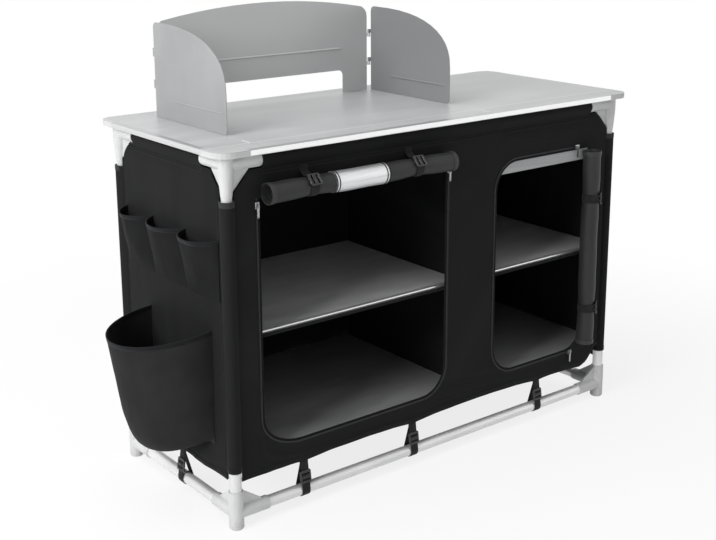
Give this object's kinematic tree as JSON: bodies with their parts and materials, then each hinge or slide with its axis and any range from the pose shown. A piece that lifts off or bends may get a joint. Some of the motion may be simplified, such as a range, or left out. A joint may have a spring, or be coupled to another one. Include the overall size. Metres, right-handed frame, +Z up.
{
  "type": "camp kitchen unit",
  "caption": "Folding camp kitchen: plugged tube frame, worktop with a hinged windbreak, fabric cupboard with rolled-up zip doors, shelves and side pockets.",
  "frame": {"origin": "centre of the whole unit's outline, windbreak and side pocket included, on the floor under its feet", "axes": "+Z up; the front with the two door openings faces -Y; +X is the right-hand end as seen from the front, and the side pockets are at the -X end"},
  "size_m": [1.2986, 0.5224, 1.0205],
  "materials": {
    "black_polyester": "coated woven polyester",
    "bright_trim": "bright anodised",
    "grey_plastic": "fine texture",
    "shelf_grey": "fibreboard under dark grey foil",
    "silver_board": "fibreboard under silver-grey foil",
    "silver_tube": "satin drawn tube",
    "vent_grey": "light grey lining",
    "windbreak_grey": "smooth grey powder coat",
    "zip_steel": "plated"
  },
  "bodies": {
    "unit": {"back_panel": "black_polyester", "cutlery_pocket_back": "black_polyester", "cutlery_pocket_front": "black_polyester", "cutlery_pocket_middle": "black_polyester", "divider_and_shelves": "black_polyester", "front_panel": "black_polyester", "left_door_roll": "black_polyester", "left_floor_board": "shelf_grey", "left_panel": "black_polyester", "left_shelf_board": "shelf_grey", "leg_back_left": "silver_tube", "leg_back_right": "silver_tube", "leg_front_left": "silver_tube", "leg_front_right": "silver_tube", "lower_node_back_left": "grey_plastic", "lower_node_back_right": "grey_plastic", "lower_node_front_left": "grey_plastic", "lower_node_front_right": "grey_plastic", "lower_rail_back": "silver_tube", "lower_rail_front": "silver_tube", "lower_rail_left": "silver_tube", "lower_rail_right": "silver_tube", "right_door_roll": "black_polyester", "right_floor_board": "shelf_grey", "right_panel": "black_polyester", "right_shelf_board": "shelf_grey", "right_vent_strip": "vent_grey", "side_pocket": "black_polyester", "top_corner_back_left": "grey_plastic", "top_corner_back_right": "grey_plastic", "top_corner_front_left": "grey_plastic", "top_corner_front_right": "grey_plastic", "trim_back": "bright_trim", "trim_front": "bright_trim", "trim_left": "bright_trim", "trim_right": "bright_trim", "upper_node_back_left": "grey_plastic", "upper_node_back_right": "grey_plastic", "upper_node_front_left": "grey_plastic", "upper_node_front_right": "grey_plastic", "upper_rail_back": "silver_tube", "upper_rail_front": "silver_tube", "upper_rail_left": "silver_tube", "upper_rail_right": "silver_tube", "windbreak_back": "windbreak_grey", "worktop_board_centre": "silver_board", "worktop_board_left": "silver_board", "worktop_board_right": "silver_board"},
    "left_wing": {"windbreak_left_wing": "windbreak_grey"},
    "right_wing": {"windbreak_right_wing": "windbreak_grey"},
    "left_door_left_slider": {"left_door_left_slider": "zip_steel"},
    "left_door_left_pull": {"left_door_left_pull": "zip_steel"},
    "left_door_right_slider": {"left_door_right_slider": "zip_steel"},
    "left_door_right_pull": {"left_door_right_pull": "zip_steel"},
    "right_door_top_slider": {"right_door_top_slider": "zip_steel"},
    "right_door_top_pull": {"right_door_top_pull": "zip_steel"},
    "right_door_bottom_slider": {"right_door_bottom_slider": "zip_steel"},
    "right_door_bottom_pull": {"right_door_bottom_pull": "zip_steel"}
  },
  "joints": [
    {"name": "left_wing_hinge", "type": "hinge", "parent": "unit", "child": "left_wing", "pos_m": [-0.40272, 0.19667, 0.7905], "axis": [0, 0, 1], "range_deg": [-80, 88]},
    {"name": "right_wing_hinge", "type": "hinge", "parent": "unit", "child": "right_wing", "pos_m": [0.18727, 0.19667, 0.7905], "axis": [0, 0, 1], "range_deg": [-88, 80]},
    {"name": "left_door_left_slide", "type": "slide", "parent": "unit", "child": "left_door_left_slider", "axis": [0, 0, -1], "range_m": [0, 0.44]},
    {"name": "left_door_left_pull_hinge", "type": "hinge", "parent": "left_door_left_slider", "child": "left_door_left_pull", "pos_m": [-0.41773, -0.21918, 0.673], "axis": [1, 0, 0], "range_deg": [-176, 3]},
    {"name": "left_door_right_slide", "type": "slide", "parent": "unit", "child": "left_door_right_slider", "axis": [0, 0, -1], "range_m": [0, 0.44]},
    {"name": "left_door_right_pull_hinge", "type": "hinge", "parent": "left_door_right_slider", "child": "left_door_right_pull", "pos_m": [0.08328, -0.21918, 0.673], "axis": [1, 0, 0], "range_deg": [-176, 3]},
    {"name": "right_door_top_slide", "type": "slide", "parent": "unit", "child": "right_door_top_slider", "axis": [-1, 0, 0], "range_m": [0, 0.185]},
    {"name": "right_door_top_pull_hinge", "type": "hinge", "parent": "right_door_top_slider", "child": "right_door_top_pull", "pos_m": [0.49378, -0.21918, 0.6705], "axis": [1, 0, 0], "range_deg": [-176, 3]},
    {"name": "right_door_bottom_slide", "type": "slide", "parent": "unit", "child": "right_door_bottom_slider", "axis": [-1, 0, 0], "range_m": [0, 0.185]},
    {"name": "right_door_bottom_pull_hinge", "type": "hinge", "parent": "right_door_bottom_slider", "child": "right_door_bottom_pull", "pos_m": [0.49378, -0.21918, 0.1505], "axis": [1, 0, 0], "range_deg": [-176, 3]}
  ]
}
